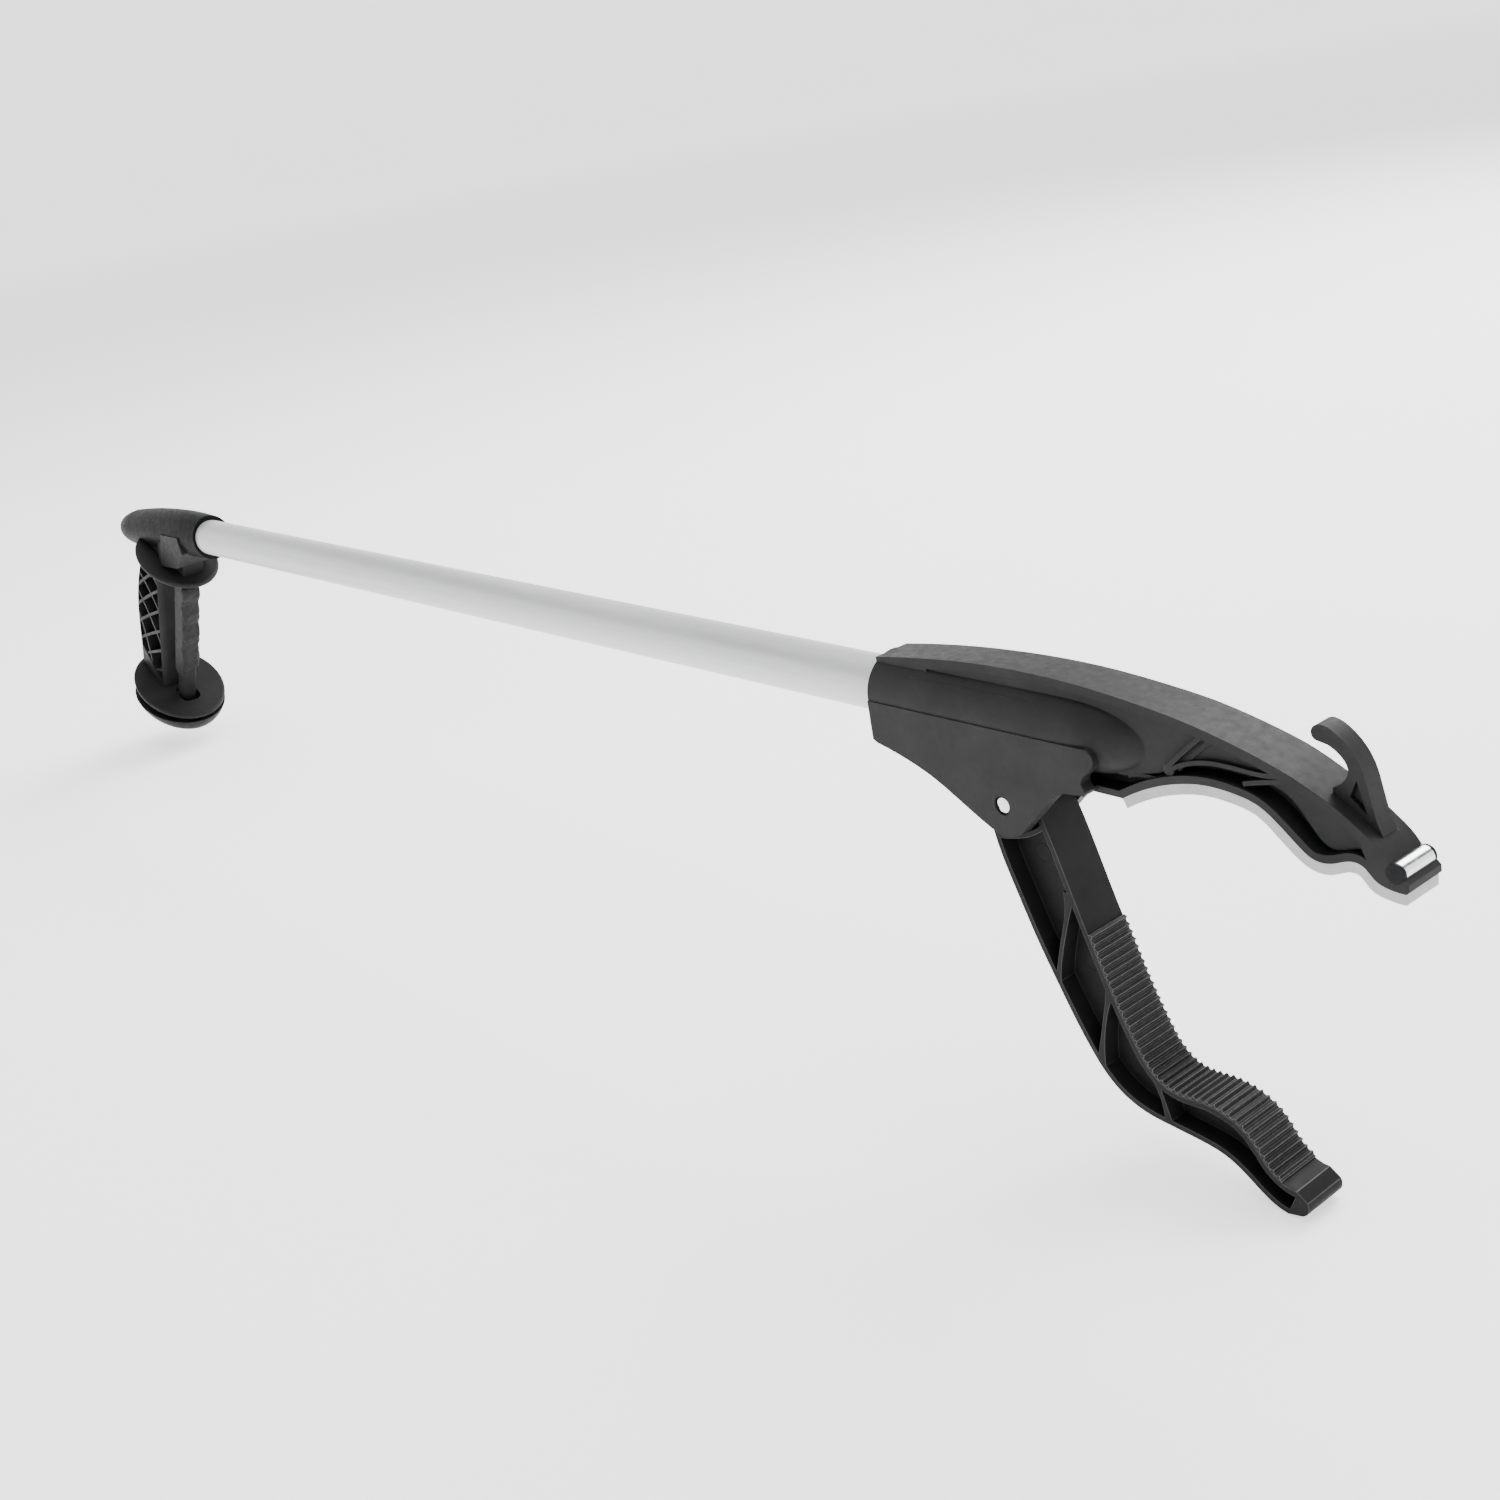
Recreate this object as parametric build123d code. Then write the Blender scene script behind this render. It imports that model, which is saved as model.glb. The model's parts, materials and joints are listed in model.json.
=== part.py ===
from build123d import *
import math
import os

# Reacher grabber, in millimetres.
# +X runs along the tube from the handle to the jaws, +Z is up and the grip hangs down.
# The origin is on the tube's axis where the tube enters the head.
# The moulded parts are symmetrical about the plane Y = 0.

# ---- driving dimensions ----------------------------------------------------------------
TUBE_R = 9.5                    # aluminium tube, outside
TUBE_BORE_R = 8.3
TUBE_BACK = -554.0              # tube ends, inside the hood and inside the head
TUBE_FRONT = 38.0
FIT = 0.03                      # radial clearance of a pressed or sliding fit
PIN_FIT = 0.06                  # radial clearance of a turning pin

HOOD_MOUTH = -541.0             # front lip of the hood
RAKE = 28.0                     # backward lean of the grip, degrees
GRIP_TOP = (-602.0, -17.7)      # centre of the upper hand flange, X and Z
GRIP_LENGTH = 103.0             # between the middles of the two hand flanges
FLANGE_T = 3.2
UPPER_FLANGE = (29.5, 21.2)     # half length and half width
LOWER_FLANGE = (33.2, 24.9)
LOWER_SHIFT = -8.3              # the lower flange sits further back
PALM_HALF = 10.0                # half width of the palm part
NECK_HALF = 12.3                # half width of the neck's shoulders beside the hood
LATTICE_T = 1.7

TRIGGER_AXIS = (1.2, -109.0)    # trigger pivot, in the grip's own x and z
TRIGGER_LEAN = 5.6              # extra forward lean of the resting trigger, degrees
TRIGGER_HALF = 5.0              # half width of the trigger
TONGUE_HALF = 3.4               # half width of its upper tongue
TRIGGER_PIN_R = 2.0

ROD_R = 1.6
ROD_PIN_Z = -6.0                # height of the pin that the trigger's fork pulls
LINK_PIN_R = 2.0
STROKE = 15.2                   # travel of the pull rod

JAW_AXIS = (67.0, -26.0)        # pivot of the lower jaw, X and Z
JAW_PIN_R = 2.5
JAW_LINK_Z = -7.25              # height of the pin that turns the lower jaw
JAW_HALF = 8.3                  # half width of both jaws
TIP_HALF = 7.3                  # half width of the upper jaw at its tip
PLATEAU_HALF = 6.3              # half width over the upper jaw's raised side panels
HEAD_HALF = 13.4                # half width over the head's side plates
CHEEK_HALF = 9.0                # inside half width between the side plates
HEAD_BACK = 10.5                # rear face of the head
SPINE_HALF = 7.0                # half width of the spine strip at its rear end
SOCKET_R = 13.0                 # tube socket, outside
NOSE_FROM, NOSE_LENGTH = 84.0, 40.0     # its tapering nose
SLIDER_R = 8.3                  # pull-rod slider and its bore
SLIDER_BORE_R = 8.5
HOOK_HALF = 3.1                 # half width of the pull hook
HOOK_WEB_HALF = 1.6             # and of the web left between its two side pockets
WEB_HALF = 1.8                  # half thickness of the jaws' central webs
JAW_RIM = 2.0                   # thickness of the rim round the lower jaw's pockets

MAGNET = (200.6, -18.9)         # axis of the tip magnet, X and Z
MAGNET_R = 2.8
MAGNET_HALF = 6.3               # half length of the magnet between its end caps
LINER_T = 3.2
RIB_COUNT = 40                  # serrations on the lower jaw's strip
STRIP_FROM, STRIP_TO = 0.285, 0.965     # its ends, as shares of the jaw's face
STRIP_CREST, STRIP_VALLEY = 1.55, 0.5   # its thickness at and between the serrations

# ---- worked-out values -----------------------------------------------------------------
JAW_ARM_RISE = JAW_LINK_Z - JAW_AXIS[1]
JAW_HALF_SWING = math.degrees(math.atan(STROKE / 2 / JAW_ARM_RISE))
JAW_LINK_X = JAW_AXIS[0] + STROKE / 2

GRIP = Location((GRIP_TOP[0], 0, GRIP_TOP[1]), (0, RAKE, 0))
TRIGGER_PIVOT = (GRIP * Location((TRIGGER_AXIS[0], 0, TRIGGER_AXIS[1]))).position
TRIGGER_FRAME = Location(TRIGGER_PIVOT, (0, RAKE + TRIGGER_LEAN, 0))
TRIGGER_RISE = ROD_PIN_Z - TRIGGER_PIVOT.Z
REST_TAN = math.tan(math.radians(RAKE + TRIGGER_LEAN))
ROD_PIN_X = TRIGGER_PIVOT.X + TRIGGER_RISE * REST_TAN
PULLED_LEAN = math.degrees(math.atan(REST_TAN - STROKE / TRIGGER_RISE))
TRIGGER_SWING = RAKE + TRIGGER_LEAN - PULLED_LEAN

# ---- curves that several parts share, as X and Z ---------------------------------------
SPINE = [(HEAD_BACK, 12.6), (30, 15.0), (52, 16.8), (78, 17.5), (102, 16.6), (120, 14.8),
         (135, 12.7), (147, 10.2), (158, 7.3), (168, 4.0), (177, 0), (185, -4.5), (192, -9.6),
         (197, -13.8), (199.2, -16.8)]
BELLY = [(111.5, -16.2), (121.5, -11), (131.8, -7.4), (142.4, -5.6), (152.5, -6.1),
         (160.3, -8.1), (166.7, -12.6), (171.7, -17.1), (176.5, -20.3), (182, -20.2),
         (187.8, -18.3), (191, -18.9), (194.5, -22.1), (199, -23.7), (203.6, -23.9)]
JAW_FACE = [(76.6, -27), (82.6, -41.5), (87.4, -55), (91.8, -66.8), (95.4, -76), (99.9, -87.3),
            (105.2, -98.5), (110, -106.6), (115.8, -111.4), (123, -112.8), (131, -112.4),
            (138.5, -113.5), (144.5, -116.3), (149, -120.8), (153.2, -126.4), (157.5, -129.5),
            (162.5, -130.6)]
JAW_BACK = [(55.6, -34.6), (58.5, -46.7), (63.4, -59.3), (69, -72.8), (75, -85.3), (81, -97.1),
            (87.1, -107.6), (92.9, -115.4), (99.3, -120.6), (107.6, -123.9), (117.4, -125.2),
            (128, -126.2), (138, -128.2), (146, -132.8), (153, -137.6), (159, -139.6)]


# ---- helpers ---------------------------------------------------------------------------
def slab(edges, half):
    """A closed outline in X and Z, given thickness evenly about Y = 0."""
    return extrude(Plane.XZ * make_face(edges), amount=half, both=True)


def prism(points, half):
    """A straight-sided outline in X and Z, given thickness evenly about Y = 0."""
    return slab(Polyline(*points, close=True).edges(), half)


def barrel(x, z, radius, y0, y1):
    """A cylinder along Y, from y0 to y1."""
    return Location((x, (y0 + y1) / 2, z), (90, 0, 0)) * Cylinder(radius, y1 - y0)


def rod_x(radius, x0, x1):
    """A cylinder along the tube's axis, from x0 to x1."""
    return Location(((x0 + x1) / 2, 0, 0), (0, 90, 0)) * Cylinder(radius, x1 - x0)


def block(x0, x1, z0, z1, half):
    """A box between two X and two Z values, evenly about Y = 0."""
    return Pos((x0 + x1) / 2, 0, (z0 + z1) / 2) * Box(x1 - x0, 2 * half, z1 - z0)


def shifted(points, distance):
    """The points moved sideways from their own line, to the right of its direction."""
    moved = []
    for i, (x, z) in enumerate(points):
        ax, az = points[max(i - 1, 0)]
        bx, bz = points[min(i + 1, len(points) - 1)]
        length = math.hypot(bx - ax, bz - az)
        moved.append((x + (bz - az) / length * distance, z - (bx - ax) / length * distance))
    return moved


def curve(points):
    """A smooth edge through the points, or a straight one through two."""
    return Line(*points) if len(points) == 2 else Spline(*points)


def loop(*runs):
    """Closed edges: each run is a smooth curve or one corner, joined to the next by a line."""
    edges = []
    for run, following in zip(runs, runs[1:] + runs[:1]):
        if len(run) > 1:
            edges.append(curve(run))
        if math.dist(run[-1], following[0]) > 1e-6:
            edges.append(Line(run[-1], following[0]))
    return edges


def rib(points, width, half):
    """A rib of even thickness along a curve."""
    left = shifted(points, -width / 2)
    right = shifted(points, width / 2)
    return slab(loop(left, right[::-1]), half)


def oval_plate(half_length, half_width, thickness):
    """A flat oval plate with rounded rims, its middle at the origin."""
    plate = extrude(Ellipse(half_length, half_width), amount=thickness / 2, both=True)
    return fillet(plate.edges(), thickness * 0.42)


def screw(head_r, head_h, shank_r, length):
    """A pan-head screw along Z: the head's face at the origin, the shank going up."""
    body = Pos(0, 0, head_h / 2) * Cylinder(head_r, head_h)
    body += Pos(0, 0, head_h + length / 2) * Cylinder(shank_r, length)
    return body - Pos(0, 0, head_h * 0.3) * Box(head_r * 1.3, 0.8, head_h * 0.6)


# ---- tube and hood ---------------------------------------------------------------------
def tube():
    return rod_x(TUBE_R, TUBE_BACK, TUBE_FRONT) - rod_x(TUBE_BORE_R, TUBE_BACK, TUBE_FRONT)


def hood_shape():
    """The torpedo that covers the back end of the tube, as a solid."""
    rings = [(HOOD_MOUTH, 0, 12.2, 11.0), (-556, 0, 12.7, 11.4), (-578, -0.2, 12.7, 11.6),
             (-600, -0.8, 12.3, 11.5), (-620, -1.7, 11.7, 11.1), (-638, -2.8, 10.9, 10.3),
             (-650, -3.7, 9.8, 9.3), (-659, -4.4, 8.0, 7.6), (-665, -4.9, 5.6, 5.3),
             (-668, -5.2, 3.0, 2.8), (-668.8, -5.2, 1.3, 1.2)]
    sections = []
    for x, z, half_height, half_width in rings:
        plane = Plane(origin=(x, 0, z), x_dir=(0, 1, 0), z_dir=(-1, 0, 0))
        sections.append(plane * Ellipse(half_width, half_height))
    return loft(sections)


def fork_room():
    """The space in the hood and neck where the trigger's fork pulls the rod."""
    room = rod_x(10.0, -608, TUBE_BACK + 1)
    room += block(-601, -573, -12.6, 0, 6.3)
    slot = [(-7.6, -4), (16.4, -4), (16.7, 5), (19.2, 7.8), (20.8, 20), (-7.6, 20)]
    return room + GRIP * prism(slot, 4.4)


def hood():
    return hood_shape() - rod_x(TUBE_R + FIT, TUBE_BACK, 0) - fork_room()


# ---- grip ------------------------------------------------------------------------------
def palm():
    """Palm part with open side pockets crossed by a lattice, in the grip's own frame."""
    front = [(-5.3, 0), (-7.6, -GRIP_LENGTH)]
    back = [(-38.5, -GRIP_LENGTH), (-38.6, -85), (-39.4, -66), (-37.6, -44), (-32.5, -24),
            (-27.0, -8), (-25.5, 0)]
    full = slab(loop(front, back), PALM_HALF)
    full = fillet(full.edges().filter_by(lambda e: abs(e.length - 16) > 60), 4.0)
    pocket_front = [(-8.0, -3), (-10.2, -GRIP_LENGTH + 3)]
    pocket = slab(loop(pocket_front, shifted(back, 2.0)[1:-1]), PALM_HALF + 1)
    core = slab(loop(front, back), 3.0)
    bars = lattice()
    return full - pocket + (core & full) + (bars & full & pocket)


def lattice():
    """Two families of slanting bars that cross in the palm part's side pockets."""
    falling = [[(-31, -12), (-18, -17), (-5, -25)],
               [(-37, -26), (-20, -34), (-5, -46)],
               [(-41, -40), (-24, -53), (-5, -73)],
               [(-43, -54), (-31, -72), (-24, -90), (-21, -GRIP_LENGTH)],
               [(-43, -72), (-36, -88), (-32, -GRIP_LENGTH)]]
    bars = [rib(run, LATTICE_T, PALM_HALF - 0.4) for run in falling]
    for step in range(8):
        z = 8 - 15.5 * step
        drop = 46 - 2.6 * step
        rising = [(-44, z - drop), (-24, z - drop * 0.47), (-4, z)]
        bars.append(rib(rising, LATTICE_T, PALM_HALF - 0.4))
    return Part() + bars


def neck():
    """Tapered foot on the upper flange, under shoulders that stand a little proud of the hood."""
    side = [(-14, 8.4), (2, 8.4), (2, 11.8), (12, 6.6), (20.4, 6.2)]
    other = [(x, -y) for x, y in reversed(side)]
    foot = GRIP * extrude(make_face(Polyline(*side, *other, close=True).edges()), amount=17)
    shoulders = [(-597, -18.6), (-584.5, 1), (-561, 1), (-560, -8.5), (-572.5, -17.8)]
    return foot - block(-640, -540, -3, 20, 20) + prism(shoulders, NECK_HALF)


def grip_frame():
    """Neck, both hand flanges, the palm part and the trigger's lugs, in one moulding."""
    body = palm() + oval_plate(*UPPER_FLANGE, FLANGE_T)
    lower = Pos(LOWER_SHIFT, 0, -GRIP_LENGTH) * oval_plate(*LOWER_FLANGE, FLANGE_T)
    leg_hole = extrude(RectangleRounded(15.5, 11.4, 4.2), amount=FLANGE_T, both=True)
    body += lower - Pos(3.0, 0, -GRIP_LENGTH) * leg_hole
    x, z = TRIGGER_AXIS
    for side in (-1, 1):
        lug = block(x - 5.5, x + 5.5, z - 4.6, -GRIP_LENGTH, 1.4)
        body += Pos(0, side * 6.9, 0) * lug
    for bx in CAP_SCREWS:
        depth = cap_floor(bx)
        boss = Pos(bx, 0, (depth - GRIP_LENGTH) / 2) * Cylinder(3.6, -GRIP_LENGTH - depth)
        body += boss - Pos(bx, 0, depth + 3.9) * Cylinder(1.4, 8)
    body -= barrel(x, z, TRIGGER_PIN_R + FIT, -9, 9)
    body = GRIP * body + neck()
    return body - hood_shape() - fork_room()


# ---- base cap --------------------------------------------------------------------------
CAP_TILT = -7.0
CAP_CENTRE = (LOWER_SHIFT, -111.0)
CAP_DEPTH = 11.4
CAP_WALL = 1.8
CAP_SCREWS = (-25.0, 12.5)      # the two screws, along the grip's own x
CAP_FRAME = Location((CAP_CENTRE[0], 0, CAP_CENTRE[1]), (0, CAP_TILT, 0))


def cap_floor(x):
    """Height of the cap's inner floor under a given x, in the grip's own frame."""
    slope = math.tan(math.radians(-CAP_TILT))
    return CAP_CENTRE[1] - CAP_DEPTH + CAP_WALL + (x - CAP_CENTRE[0]) * slope


def bowl(inset, lift):
    """The cap's shape as a solid, or its hollow when it is inset and lifted by the wall."""
    a, b = LOWER_FLANGE
    rims = [(0.01 if lift else 0, 0), (-0.45 * CAP_DEPTH, 2.4), (lift - CAP_DEPTH, 9.8)]
    return loft([Pos(0, 0, z) * Ellipse(a - shrink - inset, b - shrink - inset)
                 for z, shrink in rims])


def base_cap():
    """Oval dished foot under the lower flange, set so that it closes up at the front."""
    outside = bowl(0, 0)
    outside = fillet(outside.edges().sort_by(Axis.Z)[0], 2.5)
    inside = bowl(CAP_WALL, CAP_WALL)
    body = GRIP * CAP_FRAME * (outside - inside)
    for bx in CAP_SCREWS:
        body -= GRIP * Pos(bx, 0, cap_floor(bx)) * Cylinder(1.8, 12)
        body -= GRIP * screw_seat(bx) * Pos(0, 0, -5) * Cylinder(3.3, 10)
        body -= GRIP * Pos(bx, 0, cap_floor(bx) + 5) * Cylinder(3.7, 10)
    return body


def screw_seat(bx):
    """Where a base screw's head bears, in the grip's own frame."""
    return Location((bx, 0, cap_floor(bx) - 0.9))


def base_screw(bx):
    return GRIP * screw_seat(bx) * Pos(0, 0, -0.5) * screw(3.0, 0.5, 1.37, 7.5)


# ---- trigger ---------------------------------------------------------------------------
def trigger():
    """Full-hand trigger: round leg, straight body and a forked tongue at the top."""
    body = prism([(-5.2, 27), (-5.2, 102), (3.4, 102), (3.4, 30), (1.6, 25), (-3.2, 24)],
                 TRIGGER_HALF)
    leg = prism([(-4.3, 0), (-4.3, 27), (3.4, 31), (4.3, 24), (4.3, 0)], 4.6)
    leg = fillet(leg.edges().filter_by(Axis.Z), 2.8)
    eye = barrel(0, 0, 4.3, -4.6, 4.6)
    tongue = prism([(-5.2, 98.5), (-5.2, 102), (-3.6, 105), (-3.6, 113), (-5.4, 117),
                    (-5.4, 132.5), (-4, 134.5), (4, 134.5), (5.4, 132.5), (5.4, 118.5),
                    (3.6, 115.5), (3.6, 102), (3.4, 98.5)], TONGUE_HALF)
    fork = block(-2.6, 2.6, 121.4, 140, 4) + barrel(0, 121.4, 2.6, -4, 4)
    part = body + leg + eye + (tongue - fork)
    part -= barrel(0, 0, TRIGGER_PIN_R + PIN_FIT, -6, 6)
    return TRIGGER_FRAME * part


def trigger_pad():
    """Finger pad down the trigger's front, with four shallow finger scallops."""
    back = [(3.4, 97.5), (3.4, 32)]
    front = [(4.6, 32), (6.4, 40), (5.2, 48), (6.8, 57), (5.4, 66), (6.9, 75), (5.6, 84),
             (6.6, 91), (5.2, 97.5)]
    return TRIGGER_FRAME * slab(loop(back, front), TRIGGER_HALF - 0.3)


def trigger_pin():
    x, z = TRIGGER_AXIS
    return GRIP * barrel(x, z, TRIGGER_PIN_R, -8.3, 8.3)


# ---- pull rod and what rides on it -----------------------------------------------------
def pull_rod():
    return rod_x(ROD_R, -564, 65)


def rod_clevis():
    """Round end block with two plates that carry the pin for the trigger's fork."""
    body = rod_x(7.6, -565, -556)
    x, z = ROD_PIN_X, ROD_PIN_Z
    plate = prism([(x, z - 4), (-567, -5), (-564, -4), (-564, 4), (-567, 4), (x, z + 4)], 5.9)
    plate += barrel(x, z, 4.0, -5.9, 5.9)
    body += plate - block(-590, -565, -15, 10, TONGUE_HALF + 0.5)
    body -= barrel(x, z, LINK_PIN_R + FIT, -8, 8)
    return body - rod_x(ROD_R + FIT, -564, -550)


def rod_pin():
    return barrel(ROD_PIN_X, ROD_PIN_Z, LINK_PIN_R, -5.9, 5.9)


def rod_guide(x):
    """Nylon disc that keeps the rod on the tube's axis."""
    return rod_x(TUBE_BORE_R - FIT, x - 4, x + 4) - rod_x(ROD_R + 0.2, x - 5, x + 5)


SPRING_BACK = -20.0
SPRING_FRONT = 23.0
SPRING_R = 5.4
SPRING_WIRE_R = 0.55
SPRING_TURNS = 9


def return_spring():
    """Compression spring between the fixed seat and the collar on the rod."""
    span = SPRING_FRONT - SPRING_BACK - 2 * SPRING_WIRE_R - 0.2
    path = Helix(pitch=span / SPRING_TURNS, height=span, radius=SPRING_R)
    start = Plane(origin=path @ 0, z_dir=path % 0)
    coil = sweep(start * Circle(SPRING_WIRE_R), path=path, is_frenet=True)
    return Location((SPRING_BACK + SPRING_WIRE_R + 0.1, 0, 0), (0, 90, 0)) * coil


def spring_collar():
    return rod_x(7.4, SPRING_FRONT, SPRING_FRONT + 5) - rod_x(ROD_R + FIT, 0, 60)


def slider():
    """Front end of the rod: a round block with two ears that carry the link pin."""
    body = rod_x(SLIDER_R, 56, 86)
    body += block(JAW_LINK_X - 5.5, JAW_LINK_X + 5.5, JAW_LINK_Z - 4.5, 0, 7.6)
    body -= block(66.5, 82.7, -20, 1.5, 4.7)
    body -= barrel(JAW_LINK_X, JAW_LINK_Z, LINK_PIN_R + FIT, -9, 9)
    return body - rod_x(ROD_R + FIT, 50, 65)


def jaw_link_pin():
    return barrel(JAW_LINK_X, JAW_LINK_Z, LINK_PIN_R, -7.6, 7.6)


# ---- head and upper jaw ----------------------------------------------------------------
def beam():
    """The curved upper jaw: flanges all round, a central web and moulded ribs."""
    tip = [(200.6, -18.6)], [(202.8, -19.4)], [(204.5, -21)], [(204.5, -23)]
    outline = loop(SPINE, *tip, BELLY[::-1], [(94, -16.4)], [(94, 0)], [(HEAD_BACK, 0)])
    full = slab(outline, JAW_HALF)
    roof = shifted(SPINE, 3.0)
    floor = shifted(BELLY, -2.4)
    pocket = slab(loop([(34, 11.9)], roof[2:13], floor[11::-1], [(96, -14)], [(96, 0)],
                       [(34, 0)]), JAW_HALF + 1)
    body = full - pocket + slab(outline, WEB_HALF)
    return body + (upper_jaw_ribs() & full)


def upper_jaw_ribs():
    """Raised side panels above the low channel, and the ribs that stand on them."""
    proud = JAW_HALF - 0.6
    rear = slab(loop([(34, 0)], [(34, 15)], SPINE[5:9], [(171, 2)], [(164, -2)],
                     [(158, 0.2), (148, 0.4), (140, -0.6), (132, -2.4), (126.5, -5.4),
                      (119, -7.4), (112, -9.4)], [(96, -9)], [(96, 0)]), PLATEAU_HALF)
    front = slab(loop([(160, 6.6)], [(161, -1.5)],
                      [(167, -3.6), (171, -7), (174.3, -11.2), (177.3, -14.8), (180.5, -16.8),
                       (185, -16.3), (191.5, -14.8), (194.6, -15.9), (197.7, -18.2)],
                      [(199.4, -16)], SPINE[13:8:-1]), PLATEAU_HALF - 0.7)
    slanting = rib([(147, 12.6), (138, 5.2), (129.4, -2.6)], 1.5, proud)
    curved = rib([(153, 10), (146.3, 8.2), (140, 3.8), (132, -3.4)], 1.5, proud - 1)
    upper = rib([(131, -3), (139, 0.2), (145, 1.2), (158, 1), (171.3, 3)], 1.4, proud)
    lower = rib([(155, -2.8), (163.5, -0.6), (171.3, 0.8)], 1.4, proud)
    ends = barrel(171.3, 1.9, 1.8, -proud, proud) + barrel(129.6, -3.6, 1.9, -proud, proud)
    sill = rib([(113, -9.4), (119, -8.2), (124.5, -8), (129.4, -4.6)], 1.3, proud - 1.5)
    return rear + [front, slanting, curved, upper, lower, ends, sill]


def hook():
    """Pull hook that stands on the spine near the tip and curls back to the handle."""
    crook = [(194.8, -11.5), (192.6, -5.4), (191.2, 0.5), (189.8, 5.6), (187.5, 10.0),
             (184.4, 13.5), (181.2, 15.8), (178.6, 16.8), (176.1, 16.5), (174.7, 14.7),
             (175.3, 12.7), (177.2, 12.0), (179.7, 11.5), (182.2, 10.1), (184.4, 7.9),
             (185.3, 5.7), (184.9, 3.6), (183.4, 1.6), (180.4, -0.4)]
    body = slab(loop(crook, [(180, -7)], [(190, -13)]), HOOK_HALF)
    gusset = [(187.7, 3.0), (185.4, -2.0), (190.4, -6.2)]
    return body - (prism(gusset, HOOK_HALF + 1) - prism(gusset, HOOK_WEB_HALF))


def tube_socket():
    """Bullet-shaped socket round the tube's front end."""
    nose = []
    for step in range(9):
        angle = math.radians(90 - 11.25 * step)
        forward = max(math.cos(angle), 0) ** 0.72
        nose.append((NOSE_FROM + NOSE_LENGTH * forward, SOCKET_R * math.sin(angle)))
    outline = [Line((HEAD_BACK, 0), (HEAD_BACK, SOCKET_R)), Line((HEAD_BACK, SOCKET_R), nose[0]),
               Spline(*nose, tangents=[(1, 0), (0, -1)]), Line(nose[-1], (HEAD_BACK, 0))]
    return revolve(Plane.XZ * make_face(outline), Axis.X)


def side_plates():
    """Flat plates either side of the lower jaw's pivot, with a notched front end."""
    x, z = JAW_AXIS
    ear = []
    for step in range(6):
        angle = math.radians(-119 + 15 * step)
        ear.append((x + 10.6 * math.cos(angle), z + 10.6 * math.sin(angle)))
    under = [(12.5, -15), (24, -17.8), (38, -22.8), (49, -28.6), ear[0]]
    notch = [(101.5, -15.6), (101.9, -13.6), (100.8, -11.6), (102, -9.3), (105.2, -6.6),
             (106.6, -3.6), (105.6, -1.2), (103, -0.5)]
    rear = [(HEAD_BACK, -0.6)], [(HEAD_BACK, -14)]
    outline = loop(*rear, under, ear, [(88.5, -19.2)], [(93, -16.4)], notch)
    return slab(outline, HEAD_HALF)


def jaw_room():
    """Open space between the side plates for the lower jaw's hub and short arm."""
    room = prism([(44, -60), (44, 3), (92, 3), (92, -60)], CHEEK_HALF)
    room += prism([(94, -14), (94, -1), (115, -1), (115, -14)], CHEEK_HALF)
    return room + rod_x(SLIDER_BORE_R, TUBE_FRONT - 1, 92)


def plan_view():
    """The upper jaw seen from above: narrow at the tube, widest at its middle."""
    side = [(0, SPINE_HALF), (60, SPINE_HALF), (135, JAW_HALF), (165, JAW_HALF),
            (190, TIP_HALF), (215, TIP_HALF)]
    other = [(x, -y) for x, y in reversed(side)]
    return extrude(make_face(Polyline(*side, *other, close=True).edges()), amount=80, both=True)


def upper_jaw():
    """Head: socket, side plates, curved upper jaw and hook, in one moulding."""
    wing_gap = prism([(94, -14), (94, -1), (115, -1), (115, -14)], CHEEK_HALF)
    body = (side_plates() - wing_gap) + tube_socket() + (beam() & plan_view()) + hook()
    x, z = JAW_AXIS
    body -= jaw_room() - block(94, 120, -20, 5, 20)
    body -= rod_x(TUBE_R + FIT, -5, TUBE_FRONT)
    body -= barrel(x, z, JAW_PIN_R + FIT, -20, 20)
    body -= barrel(x, z, JAW_PIN_R + 0.7, HEAD_HALF - 0.9, 20)
    body -= barrel(x, z, JAW_PIN_R + 0.7, -20, 0.9 - HEAD_HALF)
    return body - barrel(*MAGNET, MAGNET_R + FIT, -20, 20)


def jaw_liner():
    """Soft strip under the upper jaw."""
    return slab(loop(BELLY, shifted(BELLY, LINER_T)[::-1]), JAW_HALF) & plan_view()


def tip_magnet():
    return barrel(*MAGNET, MAGNET_R, -MAGNET_HALF, MAGNET_HALF)


def magnet_cap(side):
    y0, y1 = sorted((side * MAGNET_HALF, side * TIP_HALF))
    return barrel(*MAGNET, MAGNET_R, y0, y1)


# ---- lower jaw -------------------------------------------------------------------------
def lower_jaw():
    """Channel-section lever with slanting ribs, a hub and a short forked arm above it."""
    x, z = JAW_AXIS
    end = [(166.2, -133.2), (166.4, -136), (164, -138.6)]
    outline = loop(JAW_FACE, end, JAW_BACK[::-1])
    full = slab(outline, JAW_HALF)
    inner_face = shifted(JAW_FACE, JAW_RIM)
    inner_back = shifted(JAW_BACK, -JAW_RIM)
    pocket = slab(loop(inner_face, inner_back[::-1]), JAW_HALF + 1)
    body = full - pocket + slab(outline, WEB_HALF)
    body += lower_jaw_ribs() & full
    body += barrel(x, z, 9.4, -JAW_HALF, JAW_HALF)
    reach = 23.5
    arm = block(-5.6, 5.6, 0, reach, 4.2)
    slot = block(-2.5, 2.5, 16.4, reach + 5, 6) + barrel(0, 16.4, 2.5, -6, 6)
    body += Location((x, 0, z), (0, JAW_HALF_SWING, 0)) * (arm - slot)
    return body - barrel(x, z, JAW_PIN_R + PIN_FIT, -12, 12)


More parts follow.
